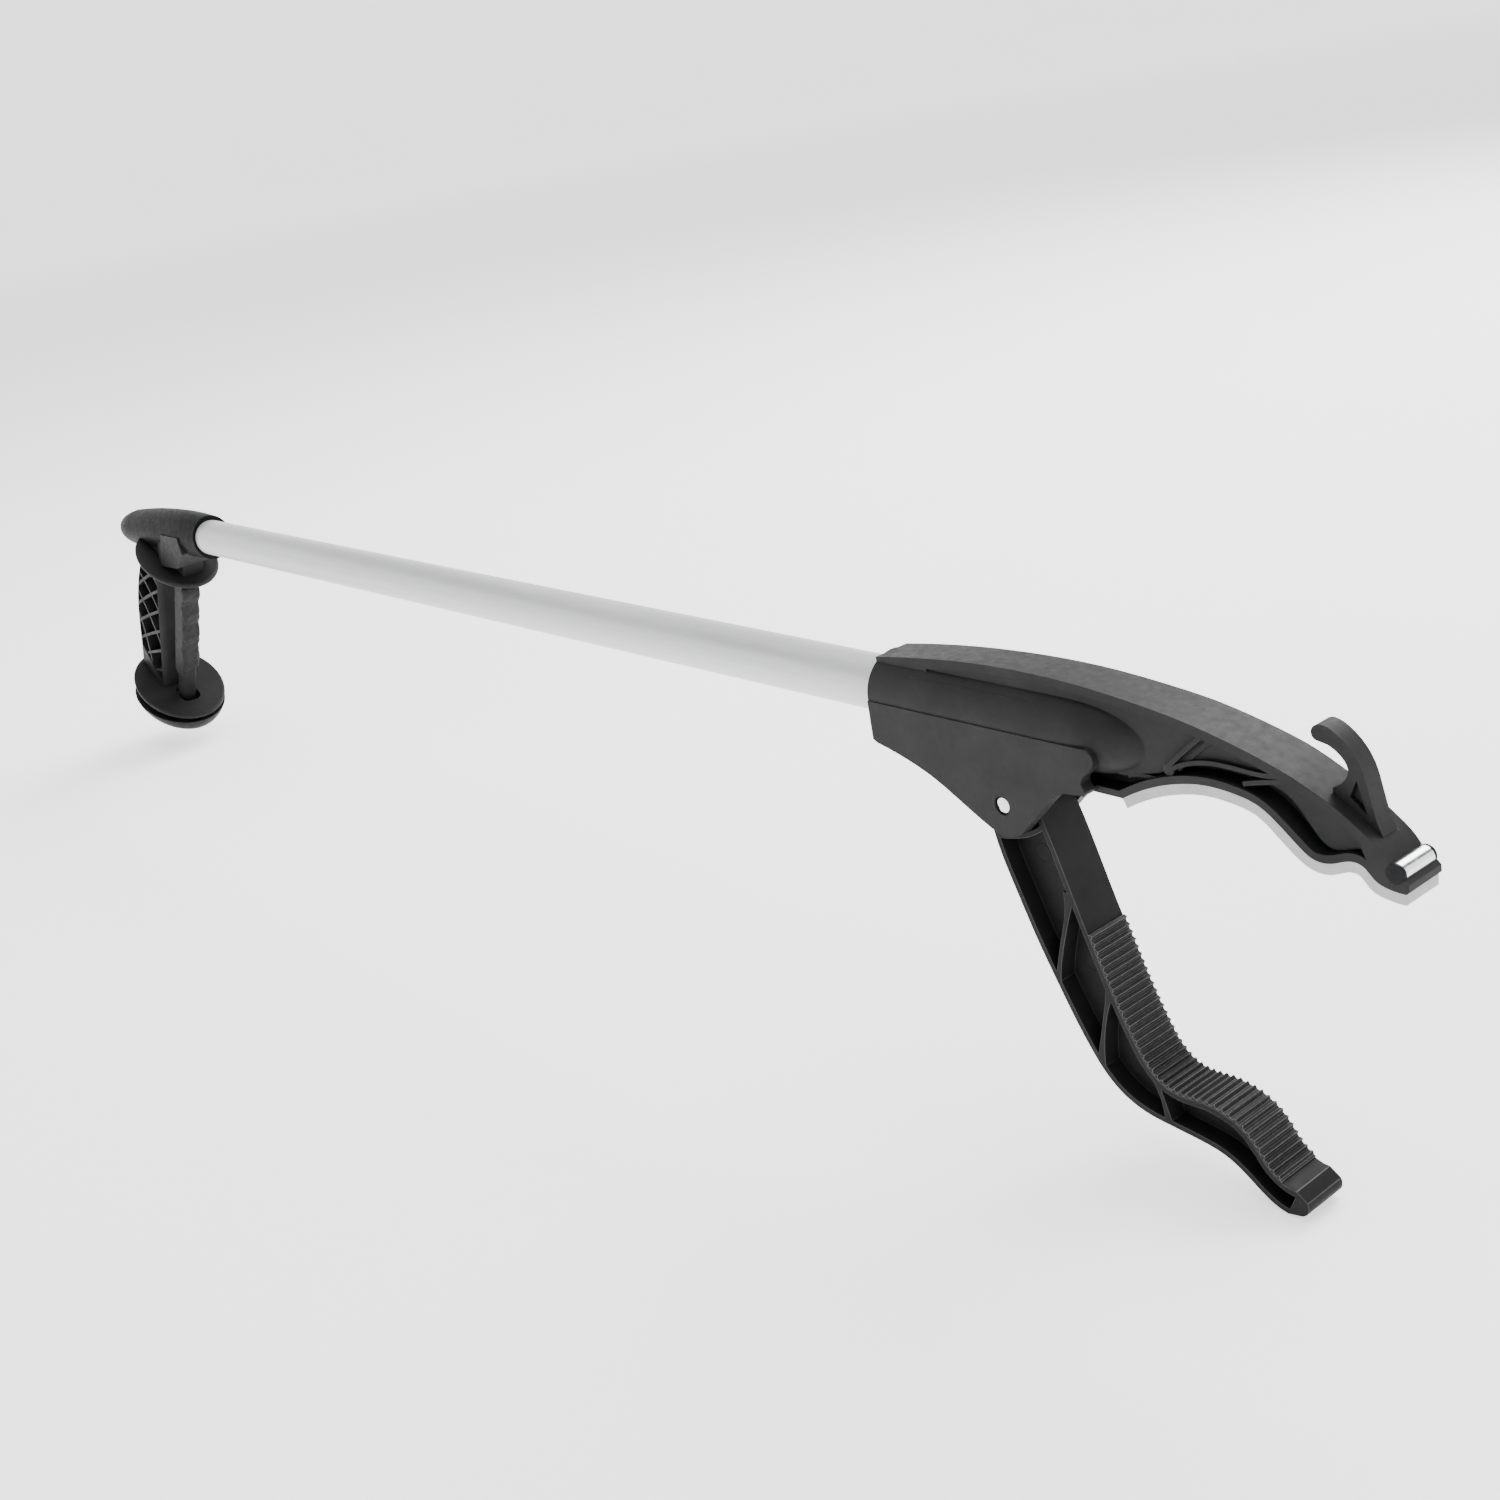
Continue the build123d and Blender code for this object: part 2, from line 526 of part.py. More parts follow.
def lower_jaw_ribs():
    first = flared_rib([(85.5, -54), (83.2, -63.5), (80.4, -72), (77.6, -82), (75.4, -93.5)])
    second = flared_rib([(99.5, -80), (95.6, -91.5), (92.9, -102), (90.6, -115.5)])
    third = flared_rib([(110.5, -105.5), (114.6, -115.5), (117, -127.6)])
    shoulder = rib([(55.4, -40.2), (66, -38.6), (73, -36), (80, -31)], 1.8, JAW_HALF)
    return first + [second, third, shoulder]


def flared_rib(points):
    """A cross rib that is thin in its middle and spreads where it meets the rims."""
    half_widths = []
    for i in range(len(points)):
        off_middle = abs(2 * i / (len(points) - 1) - 1)
        half_widths.append(0.8 + 1.5 * off_middle ** 4)
    left = [shifted(points, -w)[i] for i, w in enumerate(half_widths)]
    right = [shifted(points, w)[i] for i, w in enumerate(half_widths)]
    return slab(loop(left, right[::-1]), JAW_HALF)


def strip_line():
    """The part of the lower jaw's face that carries the serrated strip."""
    face = Spline(*JAW_FACE)
    points = []
    for step in range(RIB_COUNT * 3 + 1):
        points.append(face @ (STRIP_FROM + (STRIP_TO - STRIP_FROM) * step / (RIB_COUNT * 3)))
    return [(p.X, p.Y) for p in points]


def jaw_strip():
    """Rubber strip with fine ribs across the lower jaw's gripping face."""
    base = shifted(strip_line(), -FIT)
    crest = shifted(base, -STRIP_CREST)
    valley = shifted(base, -STRIP_VALLEY)
    teeth = [crest[i] if i % 3 == 1 else valley[i] for i in range(len(base))]
    corners = [[point] for point in teeth[::-1]]
    return slab(loop(base, *corners), JAW_HALF)


def jaw_pivot_pin():
    return barrel(*JAW_AXIS, JAW_PIN_R, -HEAD_HALF + 0.5, HEAD_HALF - 0.5)


# ---- assembly --------------------------------------------------------------------------
def nodes():
    """Every separate piece by its name."""
    made = {
        "tube": tube(),
        "hood": hood(),
        "grip_frame": grip_frame(),
        "base_cap": base_cap(),
        "base_screw_rear": base_screw(CAP_SCREWS[0]),
        "base_screw_front": base_screw(CAP_SCREWS[1]),
        "trigger": trigger(),
        "trigger_pad": trigger_pad(),
        "trigger_pin": trigger_pin(),
        "pull_rod": pull_rod(),
        "rod_clevis": rod_clevis(),
        "rod_pin": rod_pin(),
        "spring_seat": rod_guide(SPRING_BACK - 4),
        "spring_collar": spring_collar(),
        "return_spring": return_spring(),
        "slider": slider(),
        "jaw_link_pin": jaw_link_pin(),
        "upper_jaw": upper_jaw(),
        "jaw_liner": jaw_liner(),
        "tip_magnet": tip_magnet(),
        "magnet_cap_near": magnet_cap(-1),
        "magnet_cap_far": magnet_cap(1),
        "lower_jaw": lower_jaw(),
        "jaw_strip": jaw_strip(),
        "jaw_pivot_pin": jaw_pivot_pin(),
    }
    for number, x in enumerate((-450, -300, -150), start=1):
        made[f"rod_guide_{number}"] = rod_guide(x)
    return made


def main():
    os.makedirs("parts", exist_ok=True)
    for name, piece in nodes().items():
        export_step(piece, f"parts/{name}.step")
    print("trigger pivot", TRIGGER_PIVOT, "swing", TRIGGER_SWING)
    print("jaw swing", 2 * JAW_HALF_SWING, "rod pin x", ROD_PIN_X)


if __name__ == "__main__":
    main()
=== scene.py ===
import json
import math

import bpy
from mathutils import Euler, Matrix, Vector, noise as field


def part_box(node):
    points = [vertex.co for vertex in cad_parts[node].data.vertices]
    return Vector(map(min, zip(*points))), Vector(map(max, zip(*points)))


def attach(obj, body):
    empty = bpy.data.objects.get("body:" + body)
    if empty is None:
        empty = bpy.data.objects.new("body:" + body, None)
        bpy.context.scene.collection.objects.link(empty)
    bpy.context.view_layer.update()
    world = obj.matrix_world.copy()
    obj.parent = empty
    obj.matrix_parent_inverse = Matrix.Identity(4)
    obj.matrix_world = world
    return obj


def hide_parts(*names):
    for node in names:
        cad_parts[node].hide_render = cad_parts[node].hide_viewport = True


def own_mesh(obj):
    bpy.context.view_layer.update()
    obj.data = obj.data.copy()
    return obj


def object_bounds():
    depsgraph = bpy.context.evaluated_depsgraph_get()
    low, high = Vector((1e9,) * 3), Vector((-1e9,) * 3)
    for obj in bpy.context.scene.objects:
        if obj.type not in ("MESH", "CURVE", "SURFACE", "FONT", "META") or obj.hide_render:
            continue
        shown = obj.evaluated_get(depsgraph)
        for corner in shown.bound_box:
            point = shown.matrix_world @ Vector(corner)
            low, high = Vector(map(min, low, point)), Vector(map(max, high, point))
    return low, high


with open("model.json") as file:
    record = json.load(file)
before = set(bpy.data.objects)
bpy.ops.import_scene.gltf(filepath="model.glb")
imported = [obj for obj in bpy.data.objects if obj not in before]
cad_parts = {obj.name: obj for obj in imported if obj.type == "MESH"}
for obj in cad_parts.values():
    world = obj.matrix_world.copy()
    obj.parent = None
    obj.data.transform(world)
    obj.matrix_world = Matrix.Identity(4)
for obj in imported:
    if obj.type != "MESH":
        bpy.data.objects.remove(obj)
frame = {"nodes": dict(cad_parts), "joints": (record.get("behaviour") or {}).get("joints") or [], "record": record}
cad_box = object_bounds()

MM = 0.001
PIVOTS = {joint["name"]: Vector(joint["pos_m"]) for joint in frame["joints"]
          if "pos_m" in joint}

# Noise textures rarely leave this part of 0..1.
NOISE_LOW, NOISE_HIGH = 0.3, 0.7
# Ambient occlusion that paints shade into hollows: its samples, and its reach in metres.
HOLLOW_SAMPLES = 6
MOULDING_HOLLOW_REACH = 0.007
RUBBER_HOLLOW_REACH = 0.0022
# Colour of the painted shade in grooves and inner corners.
PAINTED_SHADE_COLOUR = (0.001, 0.001, 0.001, 1)


# ---- node helpers ---------------------------------------------------------------------------
def new_material(name):
    """A material with only a Principled shader, its node tree and that shader."""
    material = bpy.data.materials.new(name)
    material.use_nodes = True
    tree = material.node_tree
    tree.nodes.clear()
    output = tree.nodes.new("ShaderNodeOutputMaterial")
    shader = tree.nodes.new("ShaderNodeBsdfPrincipled")
    tree.links.new(shader.outputs["BSDF"], output.inputs["Surface"])
    return material, tree, shader


def position(tree, scale=(1, 1, 1)):
    """Object coordinates, stretched, as the source of every texture."""
    coordinates = tree.nodes.new("ShaderNodeTexCoord")
    mapping = tree.nodes.new("ShaderNodeMapping")
    mapping.inputs["Scale"].default_value = scale
    tree.links.new(coordinates.outputs["Object"], mapping.inputs["Vector"])
    return mapping.outputs["Vector"]


def noise(tree, vector, scale, detail=3.0, roughness=0.5):
    """A noise texture's 0..1 value."""
    node = tree.nodes.new("ShaderNodeTexNoise")
    node.inputs["Scale"].default_value = scale
    node.inputs["Detail"].default_value = detail
    node.inputs["Roughness"].default_value = roughness
    tree.links.new(vector, node.inputs["Vector"])
    return node.outputs["Fac"]


def ramp(tree, value, stops):
    """A colour ramp with (place, colour) stops."""
    node = tree.nodes.new("ShaderNodeValToRGB")
    elements = node.color_ramp.elements
    elements[0].position, elements[0].color = stops[0][0], (*stops[0][1], 1)
    elements[1].position, elements[1].color = stops[-1][0], (*stops[-1][1], 1)
    for place, colour in stops[1:-1]:
        elements.new(place).color = (*colour, 1)
    tree.links.new(value, node.inputs["Fac"])
    return node.outputs["Color"]


def spread(tree, value, low, high):
    """Maps a noise value to low..high."""
    node = tree.nodes.new("ShaderNodeMapRange")
    node.inputs["From Min"].default_value = NOISE_LOW
    node.inputs["From Max"].default_value = NOISE_HIGH
    node.inputs["To Min"].default_value = low
    node.inputs["To Max"].default_value = high
    tree.links.new(value, node.inputs["Value"])
    return node.outputs["Result"]


def bump(tree, shader, height, strength, distance):
    """Turns a height value into the shader's bump; the distance is in metres."""
    node = tree.nodes.new("ShaderNodeBump")
    node.inputs["Strength"].default_value = strength
    node.inputs["Distance"].default_value = distance
    tree.links.new(height, node.inputs["Height"])
    tree.links.new(node.outputs["Normal"], shader.inputs["Normal"])


def add(tree, a, b, weight):
    """a + weight * b."""
    node = tree.nodes.new("ShaderNodeMath")
    node.operation = "MULTIPLY_ADD"
    node.inputs[1].default_value = weight
    tree.links.new(b, node.inputs[0])
    tree.links.new(a, node.inputs[2])
    return node.outputs[0]


def shaded_hollows(tree, colour, reach, darkest, closed=0.15, open_from=0.8):
    """Paints shade into the colour: darkens it in grooves and inner corners by ambient occlusion.

    An openness of closed or less keeps only the darkest share of the colour, and one of
    open_from or more keeps all of it.
    """
    hollow = tree.nodes.new("ShaderNodeAmbientOcclusion")
    hollow.samples = HOLLOW_SAMPLES
    hollow.inputs["Distance"].default_value = reach
    keep = tree.nodes.new("ShaderNodeMapRange")
    keep.inputs["From Min"].default_value = closed
    keep.inputs["From Max"].default_value = open_from
    keep.inputs["To Min"].default_value = darkest
    tree.links.new(hollow.outputs["AO"], keep.inputs["Value"])
    mix = tree.nodes.new("ShaderNodeMix")
    mix.data_type = "RGBA"
    mix.inputs["A"].default_value = PAINTED_SHADE_COLOUR
    tree.links.new(keep.outputs["Result"], mix.inputs["Factor"])
    tree.links.new(colour, mix.inputs["B"])
    return mix.outputs["Result"]


# ---- materials ------------------------------------------------------------------------------
def moulded_plastic(name, dark, light, roughness, grain=2600.0, specular=0.05,
                    hollows=(0.3, 0.15, 0.8)):
    """Moulded plastic: faint flow clouds and streaks, and a fine spark-eroded grain."""
    material, tree, shader = new_material(name)
    where = position(tree)
    clouds = noise(tree, where, scale=45, detail=4)
    streaks = noise(tree, position(tree, (0.35, 1, 1)), scale=160, detail=3)
    mixed = add(tree, clouds, streaks, weight=0.35)
    colour = ramp(tree, mixed, [(0.35, dark), (0.95, light)])
    # Painted shade: ambient occlusion darkens the colour in grooves and inner corners.
    colour = shaded_hollows(tree, colour, MOULDING_HOLLOW_REACH, *hollows)
    tree.links.new(colour, shader.inputs["Base Color"])
    rough = noise(tree, where, scale=380, detail=2)
    tree.links.new(spread(tree, rough, roughness - 0.06, roughness + 0.06),
                   shader.inputs["Roughness"])
    fine = noise(tree, where, grain, detail=2, roughness=0.6)
    coarse = noise(tree, where, scale=300, detail=2)
    bump(tree, shader, add(tree, fine, coarse, weight=0.6), strength=0.22, distance=0.00012)
    shader.inputs["Specular IOR Level"].default_value = specular
    return material


def satin_aluminium(name):
    """Drawn and anodised tube: long fine draw lines along X."""
    material, tree, shader = new_material(name)
    lines = noise(tree, position(tree, (0.02, 1, 1)), scale=2200, detail=4, roughness=0.65)
    clouds = noise(tree, position(tree, (0.3, 1, 1)), scale=60, detail=3)
    colour = ramp(tree, add(tree, lines, clouds, weight=0.4),
                  [(0.4, (0.50, 0.505, 0.51)), (1.0, (0.60, 0.605, 0.61))])
    tree.links.new(colour, shader.inputs["Base Color"])
    tree.links.new(spread(tree, clouds, 0.40, 0.48), shader.inputs["Roughness"])
    bump(tree, shader, lines, strength=0.12, distance=0.00004)
    shader.inputs["Metallic"].default_value = 0.55
    shader.inputs["Anisotropic"].default_value = 0.35
    return material


def bright_steel(name, roughness=0.16):
    """Turned steel: fine lines round the axis and a few rub marks."""
    material, tree, shader = new_material(name)
    lines = noise(tree, position(tree, (1, 0.05, 1)), scale=3000, detail=3, roughness=0.6)
    marks = noise(tree, position(tree), scale=700, detail=4, roughness=0.7)
    colour = ramp(tree, marks, [(0.3, (0.66, 0.67, 0.69)), (0.8, (0.86, 0.87, 0.88))])
    tree.links.new(colour, shader.inputs["Base Color"])
    tree.links.new(spread(tree, marks, roughness - 0.04, roughness + 0.1),
                   shader.inputs["Roughness"])
    bump(tree, shader, lines, strength=0.1, distance=0.00003)
    shader.inputs["Metallic"].default_value = 1.0
    return material


def soft_foam(name, dark, light, roughness, cell, depth):
    """Foam or rubber: open cells or a dusty skin."""
    material, tree, shader = new_material(name)
    where = position(tree)
    cells = tree.nodes.new("ShaderNodeTexVoronoi")
    cells.inputs["Scale"].default_value = cell
    tree.links.new(where, cells.inputs["Vector"])
    clouds = noise(tree, where, scale=120, detail=4, roughness=0.6)
    colour = ramp(tree, add(tree, clouds, cells.outputs["Distance"], weight=0.2),
                  [(0.35, dark), (0.85, light)])
    # Painted shade: ambient occlusion darkens the colour in hollows between cells and in creases.
    colour = shaded_hollows(tree, colour, RUBBER_HOLLOW_REACH, darkest=0.35)
    tree.links.new(colour, shader.inputs["Base Color"])
    tree.links.new(spread(tree, clouds, roughness - 0.05, roughness + 0.05),
                   shader.inputs["Roughness"])
    bump(tree, shader, add(tree, cells.outputs["Distance"], clouds, weight=0.5),
         strength=0.35, distance=depth)
    shader.inputs["Specular IOR Level"].default_value = 0.1
    return material


MATERIALS = {
    "housing_plastic": moulded_plastic("housing_plastic", (0.014, 0.014, 0.0142),
                                       (0.023, 0.023, 0.0233), 0.46, specular=0.08),
    "jaw_plastic": moulded_plastic("jaw_plastic", (0.008, 0.008, 0.0082),
                                   (0.0145, 0.0145, 0.0147), 0.46, specular=0.06),
    "grip_plastic": moulded_plastic("grip_plastic", (0.012, 0.012, 0.0122),
                                    (0.019, 0.019, 0.0193), 0.46, specular=0.07),
    "grip_rubber": soft_foam("grip_rubber", (0.011, 0.011, 0.0113), (0.021, 0.021, 0.0213),
                             roughness=0.62, cell=1500, depth=0.00008),
    "strip_rubber": soft_foam("strip_rubber", (0.012, 0.012, 0.0122), (0.019, 0.019, 0.0193),
                              roughness=0.55, cell=1800, depth=0.00006),
    "liner_foam": soft_foam("liner_foam", (0.36, 0.36, 0.365), (0.45, 0.45, 0.455),
                            roughness=0.85, cell=1300, depth=0.00012),
    "cap_plastic": moulded_plastic("cap_plastic", (0.008, 0.008, 0.009),
                                   (0.014, 0.014, 0.015), 0.30),
    "nylon": moulded_plastic("nylon", (0.62, 0.61, 0.57), (0.74, 0.73, 0.69), 0.42),
    "aluminium": satin_aluminium("aluminium"),
    "steel": bright_steel("steel"),
}

# Lighter and slightly shinier versions for the rounded edges of the black mouldings: a painted highlight along the
# edges. In inner corners ambient occlusion paints shade over them, so they stay dark there.
EDGE_HIGHLIGHT_MATERIALS = {
    slot: moulded_plastic(f"{slot}_edge", dark, light, 0.40, specular=0.12,
                          hollows=(0.12, 0.6, 0.94))
    for slot, dark, light in (("housing_plastic", (0.030, 0.030, 0.0304), (0.050, 0.050, 0.0506)),
                              ("jaw_plastic", (0.036, 0.036, 0.0364), (0.058, 0.058, 0.0586)),
                              ("grip_plastic", (0.014, 0.014, 0.0142), (0.023, 0.023, 0.0233)),
                              ("strip_rubber", (0.140, 0.140, 0.141), (0.190, 0.190, 0.191)))
}

# The hood is the darkest of the black mouldings.
HOOD_PLASTIC = moulded_plastic("hood_plastic", (0.006, 0.006, 0.0061), (0.010, 0.010, 0.0102),
                               0.46, specular=0.03)


# ---- carried-over CAD nodes -----------------------------------------------------------------
def slot_of(node):
    """The record's material slot for a CAD node."""
    for entry in frame["record"]["subparts"]:
        if entry["node"] == node:
            return entry["material_slot"]
    raise KeyError(node)


def dress(node, bevel_mm, segments=2, angle=32.0):
    """Gives a CAD node its materials and rounds its moulded edges with modifiers.

    The bevel takes the second material, so only rounded edges carry the painted highlight.
    """
    thing = frame["nodes"][node]
    slot = slot_of(node)
    thing.data.materials.clear()
    thing.data.materials.append(HOOD_PLASTIC if node == "hood" else MATERIALS[slot])
    if slot in EDGE_HIGHLIGHT_MATERIALS:
        thing.data.materials.append(EDGE_HIGHLIGHT_MATERIALS[slot])
    for polygon in thing.data.polygons:
        polygon.use_smooth = True
    weld = thing.modifiers.new("weld", "WELD")
    weld.merge_threshold = 1e-6
    if bevel_mm:
        bevel = thing.modifiers.new("bevel", "BEVEL")
        bevel.width = bevel_mm * MM
        bevel.segments = segments
        bevel.limit_method = "ANGLE"
        bevel.angle_limit = math.radians(angle)
        bevel.use_clamp_overlap = True
        bevel.miter_outer = "MITER_ARC"
        bevel.material = 1 if slot in EDGE_HIGHLIGHT_MATERIALS else -1
    normals = thing.modifiers.new("normals", "WEIGHTED_NORMAL")
    normals.keep_sharp = True
    normals.weight = 60


EDGE_MM = {"tube": 0.25, "hood": 1.0, "grip_frame": 0.35, "base_cap": 0.5, "trigger": 0.9,
           "trigger_pad": 0.8, "upper_jaw": 0.4, "jaw_liner": 0.5, "lower_jaw": 0.4,
           "jaw_strip": 0.18, "jaw_pivot_pin": 0.3, "tip_magnet": 0.15,
           "magnet_cap_near": 0.3, "magnet_cap_far": 0.3}
PLAIN_EDGE_MM = 0.2

for node in frame["nodes"]:
    dress(node, EDGE_MM.get(node, PLAIN_EDGE_MM) if node != "return_spring" else 0)


# ---- new pieces -----------------------------------------------------------------------------
def mesh_piece(name, vertices, faces, body, slot_name):
    """A smooth-shaded mesh in millimetres, riding on a body."""
    mesh = bpy.data.meshes.new(name)
    mesh.from_pydata([Vector(v) * MM for v in vertices], [], faces)
    mesh.validate()
    mesh.polygons.foreach_set("use_smooth", [True] * len(mesh.polygons))
    mesh.materials.append(MATERIALS[slot_name])
    piece = bpy.data.objects.new(name, mesh)
    bpy.context.collection.objects.link(piece)
    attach(piece, body)
    return piece


def tube_faces(rows, columns, closed_rows=False):
    """Quads of a grid whose columns close on themselves, with both ends filled."""
    faces = []
    for r in range(rows if closed_rows else rows - 1):
        following = (r + 1) % rows
        for c in range(columns):
            beside = (c + 1) % columns
            faces.append((r * columns + c, r * columns + beside,
                          following * columns + beside, following * columns + c))
    if not closed_rows:
        faces.append(tuple(reversed(range(columns))))
        faces.append(tuple((rows - 1) * columns + c for c in range(columns)))
    return faces


def bead(name, path, radius, body, slot_name, closed=False, sides=10):
    """A round bead of even thickness along a path of points."""
    vertices = []
    count = len(path)
    for i, point in enumerate(path):
        before = path[(i - 1) % count] if closed else path[max(i - 1, 0)]
        after = path[(i + 1) % count] if closed else path[min(i + 1, count - 1)]
        along = (Vector(after) - Vector(before)).normalized()
        side = along.cross(Vector((0.13, 0.31, 0.94))).normalized()
        up = side.cross(along)
        taper = 1.0 if closed else min(1.0, 0.3 + 0.7 * min(i, count - 1 - i) / 3)
        for k in range(sides):
            turn = 2 * math.pi * k / sides
            offset = side * math.cos(turn) + up * math.sin(turn)
            vertices.append(Vector(point) + offset * radius * taper)
    return mesh_piece(name, vertices, tube_faces(count, sides, closed), body, slot_name)


def ring(centre, radius, steps=40):
    """Points round a circle that lies across the Y axis."""
    x, y, z = centre
    turns = [2 * math.pi * k / steps for k in range(steps)]
    return [(x + radius * math.cos(turn), y, z + radius * math.sin(turn)) for turn in turns]


SIDES = ((-1, "near"), (1, "far"))

# Raised circles that ejector pins left on the lower jaw's web: X, Z and radius.
EJECTOR_MARKS = [(70.5, -46, 3.2), (86.5, -80, 3.1), (101, -110, 2.4), (137, -119.6, 2.6),
                 (157.5, -134.4, 1.9)]
WEB_HALF = 1.8


def ejector_marks():
    """Low rings on both sides of the lower jaw's web."""
    for number, (x, z, radius) in enumerate(EJECTOR_MARKS, start=1):
        for side, where in SIDES:
            path = ring((x, side * WEB_HALF, z), radius)
            bead(f"ejector_mark_{where}_{number}", path, 0.13, "lower_jaw", "jaw_plastic",
                 closed=True)


def socket_lines():
    """Fine parting lines that run along both flanks of the tube socket."""
    socket_radius, first_x, length, steps = 13.0, 28, 51, 24
    angle = math.radians(44.5)
    for side, where in SIDES:
        y, z = side * socket_radius * math.cos(angle), socket_radius * math.sin(angle)
        path = [(first_x + length * k / steps, y, z) for k in range(steps + 1)]
        bead(f"socket_line_{where}", path, 0.12, "frame", "housing_plastic")


# The trigger leans by this much. Its finger pad's ends are distances up from its pivot.
TRIGGER_TURN = math.radians(33.6)
PAD_FROM, PAD_TO = 31.5, 98.0


def on_trigger(x, y, z):
    """A point of the trigger's own frame, x forwards and z up along it from its pivot."""
    pivot = PIVOTS["trigger_pivot"] / MM
    across, up = math.cos(TRIGGER_TURN), math.sin(TRIGGER_TURN)
    return (pivot.x + x * across + z * up, pivot.y + y, pivot.z - x * up + z * across)


def finger_pad():
    """Moulded finger pad round the trigger's front, with finger waves and a ragged side edge."""
    rows, around, half_width = 150, 44, 5.35
    rounded_ends = 22
    finger_pitch, finger_depth, first_finger = 17.2, 0.7, 37.5
    ragged_pitch, ragged_depth = 12.5, 0.9
    foot_length, foot_rise = 14, 2.6
    relief_height = 0.62
    vertices = []
    for r in range(rows):
        share = r / (rows - 1)
        z = PAD_FROM + (PAD_TO - PAD_FROM) * share
        end = min(1.0, min(share, 1 - share) * rounded_ends)
        close = math.sqrt(1 - (1 - end) ** 2)
        front = 6.2 + finger_depth * math.sin((z - first_finger) / finger_pitch * 2 * math.pi)
        edge = 1.5 + ragged_depth * math.sin(z / ragged_pitch * 2 * math.pi)
        edge += 0.4 * math.sin(z / 4.3)
        foot = max(0.0, 1 - (z - PAD_FROM) / foot_length)
        edge += foot_rise * foot * foot
        middle, reach = (front + edge) / 2, (front - edge) / 2
        for c in range(around):
            turn = 2 * math.pi * c / around
            across = math.copysign(abs(math.sin(turn)) ** 0.5, math.sin(turn))
            depth = math.copysign(abs(math.cos(turn)) ** 0.6, math.cos(turn))
            x = middle + depth * reach * (0.6 + 0.4 * close)
            y = across * half_width * (0.88 + 0.12 * close)
            lumps = field.noise(Vector((x * 0.6, y * 0.55, z * 0.30)))
            relief = math.copysign(abs(lumps) ** 0.7, lumps) * relief_height
            x += relief * max(0.0, depth)
            y += 0.25 * relief * across
            vertices.append(on_trigger(x, y, z))
    pad = mesh_piece("finger_pad", vertices, tube_faces(rows, around), "trigger",
                     "grip_rubber")
    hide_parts("trigger_pad")


def coil_spring():
    """The return spring inside the tube."""
    turns, steps, sides = 9, 28, 8
    coil_radius, wire_radius, rod_travel = 5.4, 0.55, 15.2
    low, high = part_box("return_spring")
    back, front = low[0] / MM + wire_radius, high[0] / MM - wire_radius
    count = turns * steps + 1
    vertices = []
    for i in range(count):
        turn = 2 * math.pi * i / steps
        radial = Vector((0, math.cos(turn), math.sin(turn)))
        rise = (front - back) / (turns * 2 * math.pi * coil_radius)
        along = Vector((rise, -math.sin(turn), math.cos(turn))).normalized()
        up = radial.cross(along)
        centre = Vector((back + (front - back) * i / (count - 1), 0, 0)) + radial * coil_radius
        for k in range(sides):
            round_wire = 2 * math.pi * k / sides
            offset = radial * math.cos(round_wire) + up * math.sin(round_wire)
            vertices.append(centre + offset * wire_radius)
    spring = mesh_piece("coil_spring", vertices, tube_faces(count, sides), "frame", "steel")
    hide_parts("return_spring")
    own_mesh(spring)


ejector_marks()
socket_lines()
finger_pad()
coil_spring()


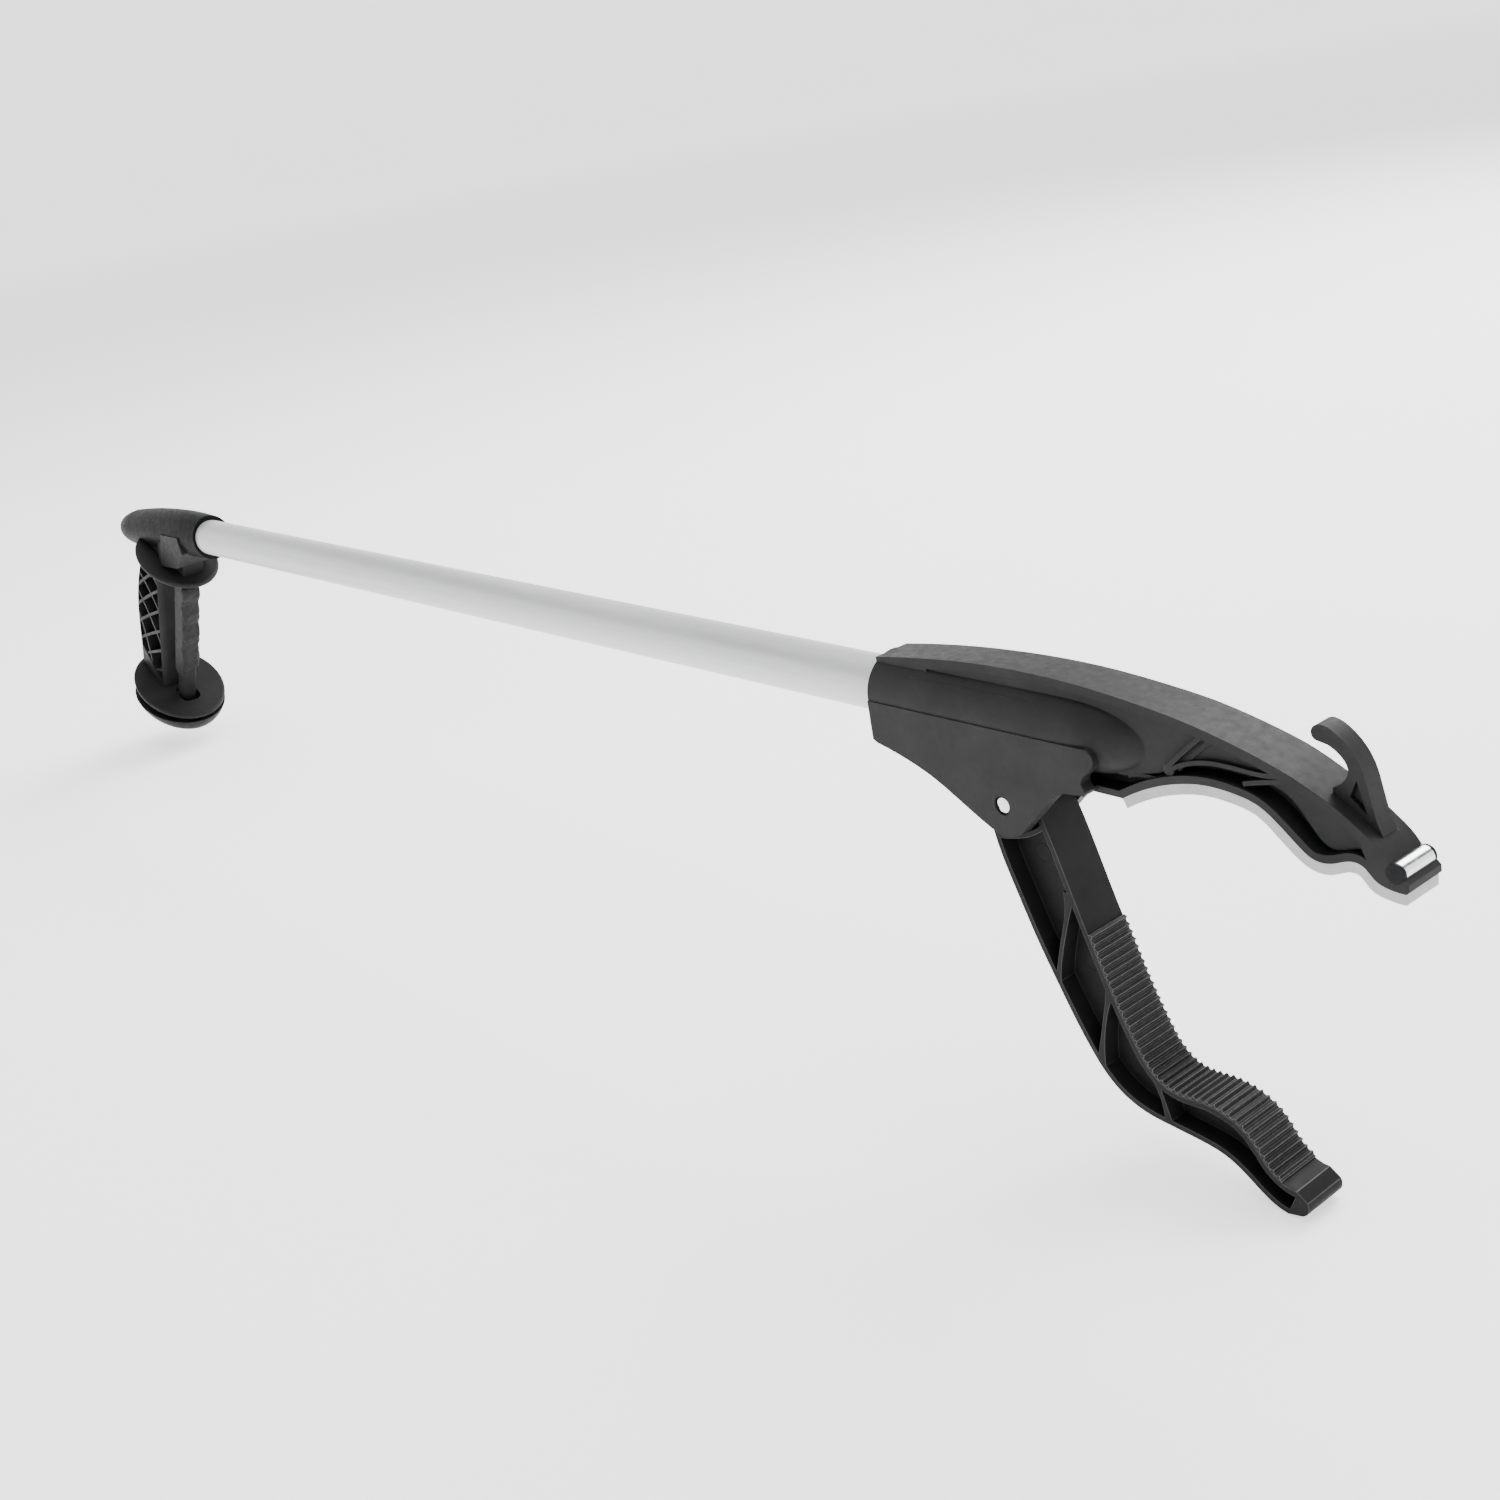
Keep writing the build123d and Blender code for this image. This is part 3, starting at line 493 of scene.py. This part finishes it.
# ---- floor, lights and camera ---------------------------------------------------------------
def make_floor():
    """A wide pale sheet just under the object that sweeps up into a low rim far away."""
    clearance, floor_radius, bend, rim, around = 0.0005, 7.0, 2.0, 2.5, 96
    bend_steps, step_degrees = 12, 7.5
    ground = cad_box[0].z - clearance
    profile = [(0.6, 0.0), (2.0, 0.0), (floor_radius, 0.0)]
    for step in range(1, bend_steps + 1):
        angle = math.radians(step_degrees * step)
        profile.append((floor_radius + bend * math.sin(angle), bend - bend * math.cos(angle)))
    profile.append((floor_radius + bend, bend + rim))
    vertices = [(0, 0, ground)]
    for radius, height in profile:
        for k in range(around):
            turn = 2 * math.pi * k / around
            vertices.append((radius * math.cos(turn), radius * math.sin(turn), ground + height))
    faces = [(0, 1 + k, 1 + (k + 1) % around) for k in range(around)]
    for r in range(len(profile) - 1):
        inner, outer = 1 + r * around, 1 + (r + 1) * around
        for k in range(around):
            beside = (k + 1) % around
            faces.append((inner + k, outer + k, outer + beside, inner + beside))
    mesh = bpy.data.meshes.new("floor")
    mesh.from_pydata(vertices, [], faces)
    mesh.polygons.foreach_set("use_smooth", [True] * len(mesh.polygons))
    floor = bpy.data.objects.new("floor", mesh)
    bpy.context.collection.objects.link(floor)
    material, tree, shader = new_material("floor_paper")
    colour = ramp(tree, noise(tree, position(tree), scale=3, detail=3),
                  [(0.3, (0.90, 0.90, 0.90)), (0.8, (0.93, 0.93, 0.93))])
    tree.links.new(colour, shader.inputs["Base Color"])
    shader.inputs["Roughness"].default_value = 0.95
    shader.inputs["Specular IOR Level"].default_value = 0.05
    shader.inputs["Emission Color"].default_value = (1, 1, 1, 1)
    shader.inputs["Emission Strength"].default_value = 1.1
    mesh.materials.append(material)


def area_light(name, place, target, size, power):
    """A round soft light that faces its target; size in metres and power in watts."""
    light = bpy.data.lights.new(name, "AREA")
    light.shape = "DISK"
    light.size = size
    light.energy = power
    thing = bpy.data.objects.new(name, light)
    thing.location = place
    aim = Vector(target) - Vector(place)
    thing.rotation_euler = aim.to_track_quat("-Z", "Y").to_euler()
    bpy.context.collection.objects.link(thing)


def make_lights():
    """A white world, a soft light overhead and a panel behind for the spine's sheen."""
    world = bpy.data.worlds.new("studio")
    world.use_nodes = True
    background = world.node_tree.nodes["Background"]
    background.inputs["Color"].default_value = (1, 1, 1, 1)
    background.inputs["Strength"].default_value = 0.35
    bpy.context.scene.world = world
    area_light("overhead", (-0.25, 0.35, 1.5), (-0.2, 0, 0), 2.2, 40)
    area_light("back_panel", (-0.3, 1.9, 1.35), (-0.1, 0, 0), 1.8, 75)


CAMERA_PLACE = (0.46116, -0.38762, 0.20705)
CAMERA_TURN_DEGREES = (69.309, 9.614, 50.648)
CAMERA_LENS, CAMERA_SENSOR = 45.6, 36


def make_camera():
    """A camera in front of the jaws that looks back along the tube."""
    data = bpy.data.cameras.new("camera")
    data.sensor_width = CAMERA_SENSOR
    data.lens = CAMERA_LENS
    data.clip_start = 0.01
    data.clip_end = 20
    camera = bpy.data.objects.new("camera", data)
    camera.location = CAMERA_PLACE
    camera.rotation_euler = Euler([math.radians(turn) for turn in CAMERA_TURN_DEGREES])
    bpy.context.collection.objects.link(camera)
    bpy.context.scene.camera = camera


make_floor()
make_lights()
make_camera()
